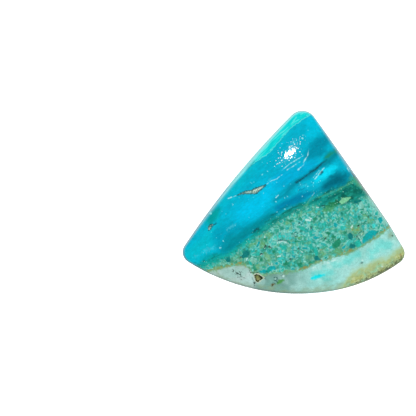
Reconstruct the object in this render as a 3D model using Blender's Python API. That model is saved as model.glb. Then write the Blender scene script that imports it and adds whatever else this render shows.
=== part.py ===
"""Fan-shaped cabochon of banded blue-green opal: one polished stone with a flat back and a low dome.

The stone lies on its flat back. +X is across the fan, +Y runs towards its point, +Z is up through the
dome, and the origin is on the flat back at the middle of the stone's bounding box.
"""

import math

import bmesh
import bpy
import numpy as np

MM = 0.001

# The outline, clockwise from the fan's point: each corner's x and y before rounding, its rounding radius,
# and the bow of the ground side that follows it. The shoulder is a slight bend in the right side, and the
# foot is two arcs that run into each other at its turn, so neither has a rounding.
FAN_POINT = (1.12, 10.92, 1.61, 0.06)
RIGHT_SHOULDER = (10.33, -2.21, 0.0, 0.01)
RIGHT_CORNER = (12.56, -5.94, 1.22, 0.63)
FOOT_TURN = (3.96, -9.82, 0.0, 1.70)
LEFT_CORNER = (-12.72, -5.83, 1.26, 0.64)
CORNERS = np.array([FAN_POINT, RIGHT_SHOULDER, RIGHT_CORNER, FOOT_TURN, LEFT_CORNER]) * MM

# This shift puts the middle of the rounded outline's bounding box on the origin.
OUTLINE_SHIFT = np.array([0.032, 0.013]) * MM

# The crest lies over the centre of the largest circle that fits in the fan.
CREST = np.array([0.25, -1.95]) * MM

# Heights of the section, from the flat back up.
THICKNESS = 5.0 * MM
BACK_BEVEL = 0.35 * MM
GIRDLE_TOP = 1.8 * MM

# The girdle leans in by this much from the back bevel up to the dome.
GIRDLE_TAPER = 0.2 * MM

# The dome's section is a superellipse of this power. Its rings turn from the outline's shape at the girdle
# to a circle at the crest. The outline is taken as this many waves by bearing, and the finer ones fade first.
DOME_POWER = 2.2
OUTLINE_WAVES = 24
BEARINGS = 720

# How finely the faceted solid follows the curves.
POINTS_PER_CORNER = 8
SIDE_STEP = 0.6 * MM
DOME_RINGS = 14

OPAL_COLOUR = (0.0, 0.41, 0.58, 1.0)
OPAL_ROUGHNESS = 0.12


def clear_scene():
    for obj in list(bpy.data.objects):
        bpy.data.objects.remove(obj)


def side_circle(start, end, bow):
    """Centre and radius of the arc from start to end that bows out by bow, to the left of its run."""
    chord = end - start
    length = np.hypot(*chord)
    outward = np.array([-chord[1], chord[0]]) / length
    radius = (length**2 / 4 + bow**2) / (2 * bow)
    return (start + end) / 2 + outward * (bow - radius), radius


def rounding_centre(first, second, rounding, corner):
    """Centre of the circle of radius rounding that touches two side circles from inside, near a corner."""
    (centre_a, radius_a), (centre_b, radius_b) = first, second
    reach_a = radius_a - rounding
    reach_b = radius_b - rounding
    between = centre_b - centre_a
    distance = np.hypot(*between)
    along = (reach_a**2 - reach_b**2 + distance**2) / (2 * distance)
    across = math.sqrt(max(reach_a**2 - along**2, 0.0))
    unit = between / distance
    normal = np.array([-unit[1], unit[0]])
    choices = [centre_a + unit * along + normal * across * sign for sign in (1, -1)]
    return min(choices, key=lambda point: np.hypot(*(point - corner)))


def touching_point(circle, inner_centre):
    """Where a smaller circle with this centre touches the circle from inside."""
    centre, radius = circle
    out = inner_centre - centre
    return centre + out / np.hypot(*out) * radius


def arc(centre, radius, start, end, count):
    """count points of the short arc from start up to, but not with, end."""
    first = math.atan2(*(start - centre)[::-1])
    last = math.atan2(*(end - centre)[::-1])
    turn = (last - first + math.pi) % (2 * math.pi) - math.pi
    angles = first + turn * np.arange(count) / count
    return centre + radius * np.column_stack([np.cos(angles), np.sin(angles)])


def outline():
    """The widest outline as a closed run of points: the rounding of each corner, then the side after it."""
    places = CORNERS[:, :2] + OUTLINE_SHIFT
    count = len(places)
    sides = [side_circle(places[i], places[(i + 1) % count], CORNERS[i, 3]) for i in range(count)]
    roundings = [
        rounding_centre(sides[i - 1], sides[i], CORNERS[i, 2], places[i]) for i in range(count)
    ]
    runs = []
    for i in range(count):
        entry = touching_point(sides[i - 1], roundings[i])
        leave = touching_point(sides[i], roundings[i])
        next_entry = touching_point(sides[i], roundings[(i + 1) % count])
        if CORNERS[i, 2] > 0:
            runs.append(arc(roundings[i], CORNERS[i, 2], entry, leave, POINTS_PER_CORNER))
        side_points = round(np.hypot(*(next_entry - leave)) / SIDE_STEP)
        runs.append(arc(*sides[i], leave, next_entry, side_points))
    return np.vstack(runs)


def outline_waves(bearing, reach):
    """The reach by bearing as a sum: its mean, each wave of 1 to OUTLINE_WAVES turns, and what is left."""
    order = np.argsort(bearing)
    even = 2 * math.pi * np.arange(BEARINGS) / BEARINGS
    series = np.fft.rfft(np.interp(even, bearing[order], reach[order], period=2 * math.pi)) / BEARINGS
    waves = [np.full(len(reach), series[0].real)]
    for turns in range(1, OUTLINE_WAVES + 1):
        waves.append(2 * (series[turns] * np.exp(1j * turns * bearing)).real)
    waves.append(reach - sum(waves))
    return waves


def stone_rings(widest):
    """(plan points, height) of each ring of the stone, from the flat back up to just under the crest.

    A dome ring's radius is share * (sum of wave * share ** turns), where share is how far out the ring is.
    """
    out = widest - CREST
    reach = np.hypot(out[:, 0], out[:, 1])
    direction = out / reach[:, None]
    rings = [
        (CREST + direction * (reach - BACK_BEVEL)[:, None], 0.0),
        (widest, BACK_BEVEL),
    ]
    waves = outline_waves(np.arctan2(out[:, 1], out[:, 0]), reach - GIRDLE_TAPER)
    for step in range(DOME_RINGS):
        climb = math.pi / 2 * step / DOME_RINGS
        share = math.cos(climb) ** (2 / DOME_POWER)
        radius = share * sum(wave * share**turns for turns, wave in enumerate(waves))
        height = GIRDLE_TOP + (THICKNESS - GIRDLE_TOP) * math.sin(climb)
        rings.append((CREST + direction * radius[:, None], height))
    return rings


def place_ring(face, ring):
    points, height = ring
    for vertex, point in zip(face.verts, points, strict=True):
        vertex.co = (*point, height)


def stone_mesh():
    """A disc takes the back's outline, is extruded ring by ring up to the crest, and is poked there."""
    rings = stone_rings(outline())
    mesh = bmesh.new()
    bmesh.ops.create_circle(mesh, cap_ends=True, segments=len(rings[0][0]), radius=THICKNESS)
    mesh.faces.ensure_lookup_table()
    back = mesh.faces[0]
    place_ring(back, rings[0])
    face = back
    for ring in rings[1:]:
        below = face
        grown = bmesh.ops.extrude_face_region(mesh, geom=[below])["geom"]
        face = next(item for item in grown if isinstance(item, bmesh.types.BMFace))
        place_ring(face, ring)
        if below is not back:
            bmesh.ops.delete(mesh, geom=[below], context="FACES_ONLY")
    crown = bmesh.ops.poke(mesh, faces=[face])["verts"][0]
    crown.co = (*CREST, THICKNESS)
    bmesh.ops.recalc_face_normals(mesh, faces=mesh.faces)
    data = bpy.data.meshes.new("fan_cabochon")
    mesh.to_mesh(data)
    mesh.free()
    return data


def opal_material():
    material = bpy.data.materials.new("polished_opal")
    material.use_nodes = True
    shader = material.node_tree.nodes["Principled BSDF"]
    shader.inputs["Base Color"].default_value = OPAL_COLOUR
    shader.inputs["Roughness"].default_value = OPAL_ROUGHNESS
    shader.inputs["Metallic"].default_value = 0.0
    return material


def main():
    clear_scene()
    collection = bpy.data.collections.new("peruvian_opalina_cabochon")
    bpy.context.scene.collection.children.link(collection)
    data = stone_mesh()
    data.shade_smooth()
    data.set_sharp_from_angle(angle=math.radians(35))
    data.materials.append(opal_material())
    stone = bpy.data.objects.new("fan_cabochon", data)
    collection.objects.link(stone)


main()
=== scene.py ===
"""The looks of a fan-shaped cabochon of Peruvian common opal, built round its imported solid.

It runs from top to bottom: the table, light and camera, then the stone's surface, its markings and its
finish. Lengths are in millimetres until a mesh, a light or the camera takes them.
"""

import math

import bpy
import mathutils
import numpy as np
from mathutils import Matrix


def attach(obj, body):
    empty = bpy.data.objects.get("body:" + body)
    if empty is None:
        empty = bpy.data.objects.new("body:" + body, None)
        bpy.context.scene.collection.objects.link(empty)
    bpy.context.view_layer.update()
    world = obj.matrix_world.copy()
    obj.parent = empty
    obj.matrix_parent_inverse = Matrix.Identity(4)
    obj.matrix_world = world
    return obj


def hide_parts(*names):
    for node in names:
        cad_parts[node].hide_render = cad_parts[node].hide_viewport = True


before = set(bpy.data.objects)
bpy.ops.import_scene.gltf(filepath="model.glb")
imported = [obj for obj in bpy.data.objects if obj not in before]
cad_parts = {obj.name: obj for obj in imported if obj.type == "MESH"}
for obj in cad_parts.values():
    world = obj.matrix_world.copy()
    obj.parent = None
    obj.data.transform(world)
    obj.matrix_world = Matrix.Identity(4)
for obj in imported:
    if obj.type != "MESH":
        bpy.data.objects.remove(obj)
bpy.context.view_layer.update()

# The table, light and camera
# The stone lies on a plain white table in even daylight, seen from straight above through a long lens.
# Its polish mirrors one small lamp, and little else but light from low down, at the dome's steep rim.
MM = 0.001

# A pixel is this wide at the scale's height above the table, and the stone's middle is at this pixel.
PIXEL = 0.1096
SCALE_HEIGHT = 1.0
PICTURE_PIXELS = 416
STONE_MIDDLE_PIXEL = (293.86, 202.17)
CAMERA_DISTANCE = 250.0
CAMERA_NEAR = 5.0
SENSOR = 36.0

TABLE_SIDE = 4000.0
TABLE_GAP = 0.01
TABLE_GLARE = 0.8
TABLE_ROUGHNESS = 0.9

# The sky's brightness all round and overhead, and between which heights of a direction it turns.
SKY_ROUND = 1.1
SKY_OVERHEAD = 0.95
SKY_TURN = (0.62, 0.93)

# What the polish mirrors instead: a little all over, and more from low down, mostly on the far side.
SKY_IN_POLISH = 0.03
LOW_LIGHT = 0.6
LOW_LIGHT_TURN = (-0.3, -0.75)
NEAR_SIDE_SHARE = 0.25
FAR_SIDE_TURN = (-0.2, 0.3)

LAMP_DIRECTION = (-0.113, 0.572, 0.812)
LAMP_DISTANCE = 300.0
LAMP_SIZE = (44.0, 12.0)
LAMP_ROLL = 158
LAMP_POWER = 0.5


def linear(code):
    """A colour given as sRGB hex, in the linear values that a shader takes."""
    shares = np.array([int(code[i : i + 2], 16) / 255 for i in (0, 2, 4)])
    bright = ((shares + 0.055) / 1.055) ** 2.4
    return (*np.where(shares <= 0.04045, shares / 12.92, bright), 1.0)


def add(tree, kind, inputs=(), give=0, **settings):
    """Adds a node with its settings, and its inputs by name or number: values or links. Gives one output."""
    made = tree.nodes.new(kind)
    for name, value in settings.items():
        setattr(made, name, value)
    for name, value in dict(inputs).items():
        if isinstance(value, bpy.types.NodeSocket):
            tree.links.new(value, made.inputs[name])
        else:
            made.inputs[name].default_value = value
    return made.outputs[give]


scene = bpy.context.scene
scene.view_settings.view_transform = "Standard"

sky = bpy.data.worlds.new("daylight")
sky.use_nodes = True
scene.world = sky
air = sky.node_tree
direction = add(air, "ShaderNodeTexCoord", give="Generated")
north = add(air, "ShaderNodeSeparateXYZ", {0: direction}, give="Y")
height = add(air, "ShaderNodeSeparateXYZ", {0: direction}, give="Z")
ramps = []
for measure, start, end, least, most in (
    (height, *SKY_TURN, SKY_ROUND, SKY_OVERHEAD),
    (height, *LOW_LIGHT_TURN, 0, LOW_LIGHT),
    (north, *FAR_SIDE_TURN, NEAR_SIDE_SHARE, 1),
):
    limits = {"Value": measure, "From Min": start, "From Max": end, "To Min": least, "To Max": most}
    ramps.append(add(air, "ShaderNodeMapRange", limits, interpolation_type="SMOOTHSTEP"))
daylight, low_light, far_share = ramps
gleam = add(air, "ShaderNodeMath", {0: low_light, 1: far_share, 2: SKY_IN_POLISH}, operation="MULTIPLY_ADD")
in_polish = add(air, "ShaderNodeLightPath", give="Is Glossy Ray")
# The two numbers that a Mix node mixes are its inputs 2 and 3.
strength = add(air, "ShaderNodeMix", {0: in_polish, 2: daylight, 3: gleam}, data_type="FLOAT")
air.links.new(strength, air.nodes["Background"].inputs["Strength"])
air.nodes["Background"].inputs["Color"].default_value = linear("FFFFFF")

# The table glows a little to the eye, so that it looks evenly white. It lies a hair below the stone, is clear
# from below, and neither lights the stone nor shows in its polish, so that the back can be looked at too.
table_mesh = bpy.data.meshes.new("table")
half = TABLE_SIDE / 2 * MM
level = -TABLE_GAP * MM
table_corners = [(-half, -half, level), (half, -half, level), (half, half, level), (-half, half, level)]
table_mesh.from_pydata(table_corners, [], [(0, 1, 2, 3)])
table = bpy.data.objects.new("table", table_mesh)
scene.collection.objects.link(table)
laminate = bpy.data.materials.new("matt_white_laminate")
laminate.use_nodes = True
laminate_tree = laminate.node_tree
laminate_shader = laminate_tree.nodes["Principled BSDF"]
laminate_shader.inputs["Base Color"].default_value = linear("FAFAFA")
laminate_shader.inputs["Roughness"].default_value = TABLE_ROUGHNESS
laminate_shader.inputs["Specular IOR Level"].default_value = 0.0
laminate_shader.inputs["Emission Color"].default_value = linear("FFFFFF")
seen = add(laminate_tree, "ShaderNodeLightPath", give="Is Camera Ray")
glare = add(laminate_tree, "ShaderNodeMath", {0: seen, 1: TABLE_GLARE}, operation="MULTIPLY")
laminate_tree.links.new(glare, laminate_shader.inputs["Emission Strength"])
from_below = add(laminate_tree, "ShaderNodeNewGeometry", give="Backfacing")
there = add(laminate_tree, "ShaderNodeMath", {0: 1.0, 1: from_below}, operation="SUBTRACT")
laminate_tree.links.new(there, laminate_shader.inputs["Alpha"])
table_mesh.materials.append(laminate)
table.visible_glossy = False
table.visible_diffuse = False

# One small bright lamp only shows as the highlight in the polish. It is long, and rolled to suit the dome.
lamp = bpy.data.lights.new("lamp", "AREA")
lamp.shape = "ELLIPSE"
lamp.size = LAMP_SIZE[0] * MM
lamp.size_y = LAMP_SIZE[1] * MM
lamp.energy = LAMP_POWER
lamp_holder = bpy.data.objects.new("lamp", lamp)
toward_lamp = mathutils.Vector(LAMP_DIRECTION).normalized()
lamp_holder.location = toward_lamp * LAMP_DISTANCE * MM
facing = toward_lamp.to_track_quat("Z", "Y") @ mathutils.Quaternion((0, 0, 1), math.radians(LAMP_ROLL))
lamp_holder.rotation_euler = facing.to_euler()
lamp_holder.visible_diffuse = False
scene.collection.objects.link(lamp_holder)

lens = bpy.data.cameras.new("camera")
lens.sensor_width = SENSOR
lens.lens = SENSOR * CAMERA_DISTANCE / (PICTURE_PIXELS * PIXEL)
lens.clip_start = CAMERA_NEAR * MM
eye = bpy.data.objects.new("camera", lens)
middle = PICTURE_PIXELS / 2
eye.location = (
    (middle - STONE_MIDDLE_PIXEL[0]) * PIXEL * MM,
    (STONE_MIDDLE_PIXEL[1] - middle) * PIXEL * MM,
    (SCALE_HEIGHT + CAMERA_DISTANCE) * MM,
)
scene.collection.objects.link(eye)
scene.camera = eye

# The stone's surface
# One slab of opal, sawn flat at the back, ground to a fan outline and domed on a wheel, then polished. The
# section and outline are the solid's, worked out finely, with the pits and open cracks sunk into the dome.
THICKNESS = 5.0
GIRDLE_TOP = 1.8
BACK_BEVEL = 0.35
GIRDLE_TAPER = 0.2
CREST = (0.25, -1.95)
DOME_POWER = 2.2
OUTLINE_WAVES = 24
BEARINGS = 720
DOME_CELLS = 240
DOME_SECTION_STEPS = 400
SIDE_RINGS = 24
BACK_RINGS = 12
EDGE_SOFTENING = 0.12
SOFT_EDGE_STEPS = 8
SAME_HEIGHT = 0.01
BEARING_DIGITS = 5
TURN = 2 * math.pi

# The solid's corners at its widest, each once, by their bearing from the crest and how far off it they are.
cad_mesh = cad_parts["fan_cabochon"].data
cad_corners = np.empty(len(cad_mesh.vertices) * 3, np.float32)
cad_mesh.vertices.foreach_get("co", cad_corners)
cad_corners = cad_corners.reshape(-1, 3).astype(float) / MM
widest = cad_corners[abs(cad_corners[:, 2] - BACK_BEVEL) < SAME_HEIGHT]
bearing = np.arctan2(widest[:, 1] - CREST[1], widest[:, 0] - CREST[0]) % TURN
bearing, first_found = np.unique(bearing.round(BEARING_DIGITS), return_index=True)
spread = np.hypot(widest[:, 0] - CREST[0], widest[:, 1] - CREST[1])[first_found]
bearing = np.concatenate([bearing[-2:] - TURN, bearing, bearing[:2] + TURN])
spread = np.concatenate([spread[-2:], spread, spread[:2]])


def reach(theta):
    """How far the widest outline is from the crest: a cubic through the solid's corners by bearing.

    Each corner's slope is that of the line between its two neighbours.
    """
    theta = theta % TURN
    after = np.clip(np.searchsorted(bearing, theta), 2, len(bearing) - 2)
    before = after - 1
    gap = bearing[after] - bearing[before]
    share = (theta - bearing[before]) / gap
    slope_a = (spread[after] - spread[before - 1]) / (bearing[after] - bearing[before - 1]) * gap
    slope_b = (spread[after + 1] - spread[before]) / (bearing[after + 1] - bearing[before]) * gap
    rise = spread[after] - spread[before]
    bend = slope_a * (1 - share) ** 2 * share - slope_b * (1 - share) * share**2
    return spread[before] + rise * (3 * share**2 - 2 * share**3) + bend


even = TURN * np.arange(BEARINGS) / BEARINGS
series = np.fft.rfft(reach(even) - GIRDLE_TAPER) / BEARINGS
mean_reach = series[0].real


def ring_radius(share, theta):
    """Radius by bearing of the dome's ring that is a share of the way out from the crest.

    The outline is a sum of waves by bearing, and each is shrunk by share ** its number of turns:
    radius = share * (mean + sum of wave * share ** turns), so corners fade and the crest is round.
    """
    waves = np.full(theta.shape, mean_reach)
    rest = reach(theta) - GIRDLE_TAPER - mean_reach
    for turns in range(1, OUTLINE_WAVES + 1):
        wave = 2 * (series[turns] * np.exp(1j * turns * theta)).real
        waves += wave * share**turns
        rest -= wave
    return share * (waves + rest * share ** (OUTLINE_WAVES + 1))


def dome_section():
    """The dome from crest to edge, as its length so far, share of the way out, and height.

    The section is a superellipse: (share out) ** DOME_POWER + (rise above the girdle) ** 2 = 1.
    """
    climb = np.linspace(math.pi / 2, 0, DOME_SECTION_STEPS)
    out = np.cos(climb) ** (2 / DOME_POWER)
    rise = GIRDLE_TOP + (THICKNESS - GIRDLE_TOP) * np.sin(climb)
    length = np.concatenate([[0], np.cumsum(np.hypot(np.diff(out * mean_reach), np.diff(rise)))])
    return length / length[-1], out, rise


def side_section():
    """The girdle and the back's bevel as insets from the outline and heights, at even steps.

    Each edge is softened by a curve between the points EDGE_SOFTENING to either side of it:
    (1 - t) ** 2 * start + 2 * t * (1 - t) * corner + t ** 2 * end.
    """
    corners = np.array([(GIRDLE_TAPER, GIRDLE_TOP), (0, BACK_BEVEL), (BACK_BEVEL, 0), (3 * BACK_BEVEL, 0)])
    line = [corners[:1]]
    for before, corner, after in zip(corners, corners[1:], corners[2:], strict=False):
        start = corner + (before - corner) / np.linalg.norm(before - corner) * EDGE_SOFTENING
        end = corner + (after - corner) / np.linalg.norm(after - corner) * EDGE_SOFTENING
        t = np.linspace(0, 1, SOFT_EDGE_STEPS)[:, None]
        line.append((1 - t) ** 2 * start + 2 * t * (1 - t) * corner + t**2 * end)
    line = np.vstack([*line, corners[-1:]])
    length = np.concatenate([[0], np.cumsum(np.hypot(*np.diff(line, axis=0).T))])
    steps = np.linspace(0, length[-1], SIDE_RINGS + 1)[1:]
    return np.interp(steps, length, line[:, 0]), np.interp(steps, length, line[:, 1])


# The dome is a square grid pressed into a disc, (u, v) to (u sqrt(1 - v v / 2), v sqrt(1 - u u / 2)).
across = np.linspace(-1, 1, DOME_CELLS + 1)
u, v = np.meshgrid(across, across)
disc_x = u * np.sqrt(1 - v**2 / 2)
disc_y = v * np.sqrt(1 - u**2 / 2)
theta = np.arctan2(disc_y, disc_x)
length, out, rise = dome_section()
way_out = np.hypot(disc_x, disc_y)
share_out = np.interp(way_out, length, out)
radius = ring_radius(share_out, theta)
dome = np.stack(
    [
        CREST[0] + radius * np.cos(theta),
        CREST[1] + radius * np.sin(theta),
        np.interp(way_out, length, rise),
    ],
    axis=-1,
)

# Below the dome, rings of the same count of points follow the side section and then close over the back.
index = np.arange((DOME_CELLS + 1) ** 2).reshape(DOME_CELLS + 1, DOME_CELLS + 1)
rim = np.concatenate([index[0, :-1], index[:-1, -1], index[-1, :0:-1], index[:0:-1, 0]])
rim_theta = theta.ravel()[rim]
inset, side_height = side_section()
side_radius = reach(rim_theta)[None, :] - inset[:, None]
back_share = np.linspace(1, 0, BACK_RINGS + 1)[1:-1]
back_radius = side_radius[-1][None, :] * back_share[:, None]
lower_radius = np.vstack([side_radius, back_radius])
lower_height = np.concatenate([side_height, np.zeros(len(back_share))])
rings = np.stack(
    [
        CREST[0] + lower_radius * np.cos(rim_theta),
        CREST[1] + lower_radius * np.sin(rim_theta),
        np.broadcast_to(lower_height[:, None], lower_radius.shape),
    ],
    axis=-1,
)
points = np.vstack([dome.reshape(-1, 3), rings.reshape(-1, 3), [(*CREST, 0)]])

# The minerals' beds run through the stone at a slant: each goes this far along y for each step down from
# the dome. The places of the markings are on a plan that is drawn this much larger than the stone.
BED_DIP = 0.55
PLAN_SCALE = 1.012
dome_count = dome.shape[0] * dome.shape[1]
lower_share = np.clip(lower_radius / (reach(rim_theta) - GIRDLE_TAPER), 0, 1)
dome_above = GIRDLE_TOP + (THICKNESS - GIRDLE_TOP) * np.sqrt(1 - lower_share**DOME_POWER)
depth = np.concatenate([np.zeros(dome_count), (dome_above - lower_height[:, None]).ravel(), [THICKNESS]])
x = points[:, 0] * PLAN_SCALE
y = (points[:, 1] + BED_DIP * depth) * PLAN_SCALE
all_theta = np.arctan2(points[:, 1] - CREST[1], points[:, 0] - CREST[0])

# The stone's markings
# Blue opal over a green band, a breccia of opal crumbs, an ochre seam, pale rock and sandy rock, all in beds
# that run up to the right. Each marking is kept as a signed distance in millimetres, less than 0 inside it.
# They narrow by this much for each millimetre below the dome, so that they end on the stone's side.
NARROWING = 0.8
FAR = 9.0
TINY = 1e-12


def above(bed_line):
    """How far a point is above a bed's line, along y: the line is straight between its points (x, y)."""
    line = np.array(bed_line)
    return y - np.interp(x, line[:, 0], line[:, 1])


def off_strokes(*strokes):
    """Distance from the nearest stroke's edge. A stroke is a run of (x, y, half width) points, and the
    distance is that from the line between two of them, less the half width at that place.
    """
    nearest = np.full(len(x), FAR)
    for stroke in strokes:
        for start, end in zip(stroke, stroke[1:] or stroke, strict=False):
            run = np.subtract(end[:2], start[:2])
            along = ((x - start[0]) * run[0] + (y - start[1]) * run[1]) / max(run @ run, TINY)
            along = np.clip(along, 0, 1)
            off = np.hypot(x - start[0] - along * run[0], y - start[1] - along * run[1])
            nearest = np.minimum(nearest, off - start[2] - along * (end[2] - start[2]))
    return nearest + NARROWING * depth


def off_chips(*chips):
    """Distance from the nearest chip's edge, less than 0 inside it. A chip is a polygon of (x, y) corners,
    and a point is inside when a line from it along x crosses an odd number of sides.
    """
    nearest = np.full(len(x), FAR)
    for chip in chips:
        off = np.full(len(x), FAR)
        inside = np.zeros(len(x), bool)
        for (xa, ya), (xb, yb) in zip(chip, (*chip[1:], chip[0]), strict=True):
            run = np.array([xb - xa, yb - ya])
            along = np.clip(((x - xa) * run[0] + (y - ya) * run[1]) / (run @ run), 0, 1)
            off = np.minimum(off, np.hypot(x - xa - along * run[0], y - ya - along * run[1]))
            crosses = (ya > y) != (yb > y)
            inside ^= crosses & (x < xa + (y - ya) / (yb - ya + TINY) * run[0])
        nearest = np.minimum(nearest, np.where(inside, -off, off))
    return nearest + NARROWING * depth


markings = {
    # The beds' boundaries, from the fan's point down to its foot.
    "aqua_bed": above(
        [(-6.6, 2.2), (-5.2, 3.75), (-4, 4.6), (-3, 5.25), (-2, 6.3), (-1, 7.5), (0, 8.5), (2, 9.8)]
    ),
    "green_bed": above(
        [(-12, -7.4), (-9, -6.1), (-7.5, -5.6), (-6, -4.6), (-5, -3.8), (-4, -2.9), (-3, -2.1), (-2, -1.4)]
        + [(-1, -0.8), (0, -0.45), (1, 0.05), (2, 0.7), (3, 0.95), (4.4, 1.4), (5.6, 1.95), (6.1, 2.7)]
        + [(9, 4)]
    ),
    "crumb_bed": above(
        [(-10.5, -7.5), (-9, -6.95), (-8, -6.4), (-7, -5.9), (-6, -5.2), (-5, -4.4), (-4, -3.85), (-3, -3.2)]
        + [(-2, -2.4), (-1, -1.75), (0, -1.2), (1, -0.7), (2, -0.4), (3.1, -0.7), (4.3, -0.5), (6, -0.2)]
        + [(7.5, 0.4), (8.5, 0.9)]
    ),
    "ochre_bed": above(
        [(-9.8, -7.65), (-8.6, -7.3), (-7.3, -7), (-6, -6.75), (-5.2, -7), (-4.6, -7.7), (-3.5, -7.95)]
        + [(-1.9, -7.75), (0, -7.5), (1, -7.25), (2.2, -6.65), (3.7, -6.15), (5.2, -5.7), (6.1, -5.4)]
        + [(7.3, -4.8), (8.5, -4.1), (9.3, -3.6), (10.3, -2.75), (11, -2.3)]
    ),
    "sand_bed": above(
        [(-1, -12), (4, -10.6), (5.3, -9.6), (5.8, -8.75), (6.3, -8), (7.4, -7.55), (8.9, -6.85), (10, -6.45)]
        + [(11.1, -5.75), (11.9, -5.15), (12.6, -4.9)]
    ),
}
markings["left_edge"] = off_strokes(
    [(-11.3, -5.9, 0.9), (-9.8, -4.2, 0.9), (-8.6, -2.2, 0.2)],
    [(-8.2, 0.2, 0.5), (-5.6, 3.2, 0.6), (-3.4, 5.2, 0.5), (-1.4, 7.5, 0.5), (0.3, 9, 0.3)],
)
markings["lower_cloud"] = off_strokes(
    [(-8.4, -3.6, 0.5), (-6.8, -3, 0.6), (-5.6, -2.8, 0.5), (-4.2, -2.1, 0.45), (-3, -1.2, 0.5)]
    + [(-2.3, -0.4, 0.3)]
)
markings["azure"] = off_strokes([(-2.4, 2, 0.6), (-0.5, 2.9, 0.8), (0.6, 3.4, 0.6), (2, 4.3, 0.5)])
markings["glow"] = off_strokes([(-5.6, -1.2, 0.7), (-4.6, -0.7, 1.1), (-3.4, 0.4, 0.8), (-2.9, 1.6, 0.5)])
markings["point_glow"] = off_strokes([(1.7, 9, 0.4), (2.2, 8.1, 0.5), (1.9, 7.4, 0.3)])
markings["point_shade"] = off_strokes(
    [(1.4, 5, 0.3), (2.2, 5.8, 0.6), (3, 6.5, 0.6), (3.5, 7.1, 0.3)],
    [(2, 5, 0.3), (3.2, 5.6, 0.3)],
)
markings["shade"] = off_strokes(
    [(-7.7, -5.2, 0.4), (-6.8, -4.4, 0.6), (-6, -3.8, 0.45), (-4.9, -3, 0.3), (-3.6, -2.3, 0.35)]
    + [(-2.6, -1.5, 0.3)]
)
markings["deep"] = off_strokes(
    [(-1.9, -0.7, 0.3), (-0.6, -0.1, 0.5), (0.4, 0.3, 0.5), (1.1, 0.8, 0.4), (2.1, 1.1, 0.3)]
)
markings["seam_shade"] = off_strokes(
    [(-2.3, 0.1, 0.15), (-1.2, 0.8, 0.25), (-0.4, 1.6, 0.3), (0.5, 2.3, 0.25), (1.3, 2.8, 0.2)]
    + [(2.6, 3.8, 0.15)],
    [(2.8, 3.9, 0.15), (3.6, 4.4, 0.2), (4.4, 5.1, 0.25)],
    [(1.9, 1.3, 0.2), (3, 1.3, 0.3), (3.6, 1.5, 0.3)],
)
markings["mottled"] = off_strokes([(0.3, 1.4, 0.15), (1.2, 1.7, 0.4), (2, 1.95, 0.5), (2.8, 2.3, 0.4)])
markings["deepest"] = off_strokes([(3.4, 1.8, 0.4), (4.3, 2.3, 0.6), (5, 2.5, 0.7), (5.5, 2.9, 0.3)])
markings["flash"] = off_strokes([(2.4, 2.4, 0.15), (3, 2.95, 0.35), (3.7, 3.45, 0.35), (4.4, 3.8, 0.12)])
markings["lagoon"] = off_strokes(
    [(-9.3, -2.1, 0.25), (-8.8, -1.3, 0.3), (-8.5, -0.8, 0.1)],
    [(-10, -6.9, 0.3), (-9.1, -6.3, 0.4), (-8.5, -6, 0.2)],
)
markings["green_streak"] = off_strokes(
    [(3.3, 4.75, 0.05), (3.7, 5.15, 0.15), (4.1, 5.4, 0.12), (4.6, 5.65, 0.05)],
    [(-5.3, 3.8, -0.1), (-4.9, 4.25, -0.06), (-4.6, 4.5, -0.1)],
)
markings["olive_streak"] = off_strokes(
    [(2.6, 0.55, 0.03), (3.6, 0.85, 0.05), (4.6, 1.3, 0.06), (5.6, 1.85, 0.06), (6.5, 2.3, 0.1)],
    [(5.9, 2.9, 0.15), (6.4, 2.5, 0.25), (6.8, 2.1, 0.2), (7.4, 1.7, 0.2)],
    [(0.6, -0.9, 0.04), (1.2, -0.3, 0.04), (1.8, 0.5, 0.03)],
)
markings["olive"] = off_strokes(
    [(3.4, -0.8, 0.3), (3.9, -0.5, 0.4), (4.5, -0.1, 0.25)],
    [(-1.8, -8.85, 0.1), (-1.55, -8.72, 0.17), (-1.3, -8.55, 0.1)],
)
markings["haze"] = off_strokes(
    [(-10, -5.4, 0.1), (-9.4, -5.2, 0.2), (-8.8, -5.05, 0.12)],
    [(-10.9, -5.95, 0.05), (-10.7, -5.9, 0.05)],
    [(-2.8, 2.3, 0.06), (-2.4, 2.5, 0.06)],
    [(-7.5, -3.1, 0.03), (-7, -2.8, 0.06), (-6.6, -2.45, 0.04)],
    [(0.6, 1.9, 0.05), (1.15, 1.8, 0.1)],
)
markings["olive_tint"] = off_strokes(
    [(-8.4, -6.9, 0.15), (-6.6, -6.4, 0.5), (-5.2, -6.6, 0.3), (-4.2, -7.2, 0.3)],
    [(0.6, -7, 0.2), (2.2, -6.1, 0.4), (3.4, -5.6, 0.5), (5.1, -5.3, 0.4), (6, -4.9, 0.3)],
    [(5.9, -3.2, 0.3), (6.6, -2.9, 0.4), (7.2, -3.4, 0.3)],
    [(-3.2, -3.6, 0.3), (-4.2, -4.5, 0.3)],
    [(-3.4, -6.3, 0.4), (-2.6, -6.1, 0.3)],
)
markings["low_crumbs"] = off_strokes(
    [(-9.5, -7.1, 0.2), (-8, -6.6, 0.4), (-6.4, -6, 0.6), (-5, -6.2, 0.9), (-3.5, -6.6, 0.9)]
    + [(-1.5, -6.9, 0.6)],
    [(-0.5, -6.9, 0.4), (1.2, -6.5, 0.5), (3, -5.8, 0.5), (4.6, -5, 0.7), (6.3, -4.6, 0.6)],
)
markings["aqua_tint"] = off_strokes(
    [(2.2, -8, 0.3), (3.6, -7.8, 0.4)],
    [(8.4, -5.9, 0.3), (9.2, -4.9, 0.5), (10.4, -4.7, 0.3)],
    [(4.2, -6.9, 0.1), (5.4, -6.5, 0.25), (7, -5.7, 0.15)],
)
markings["cyan_streak"] = off_strokes(
    [(1.85, -8.38, 0.08), (2.3, -8.2, 0.18), (2.75, -8.08, 0.12), (3.2, -7.95, 0.03)]
)
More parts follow.
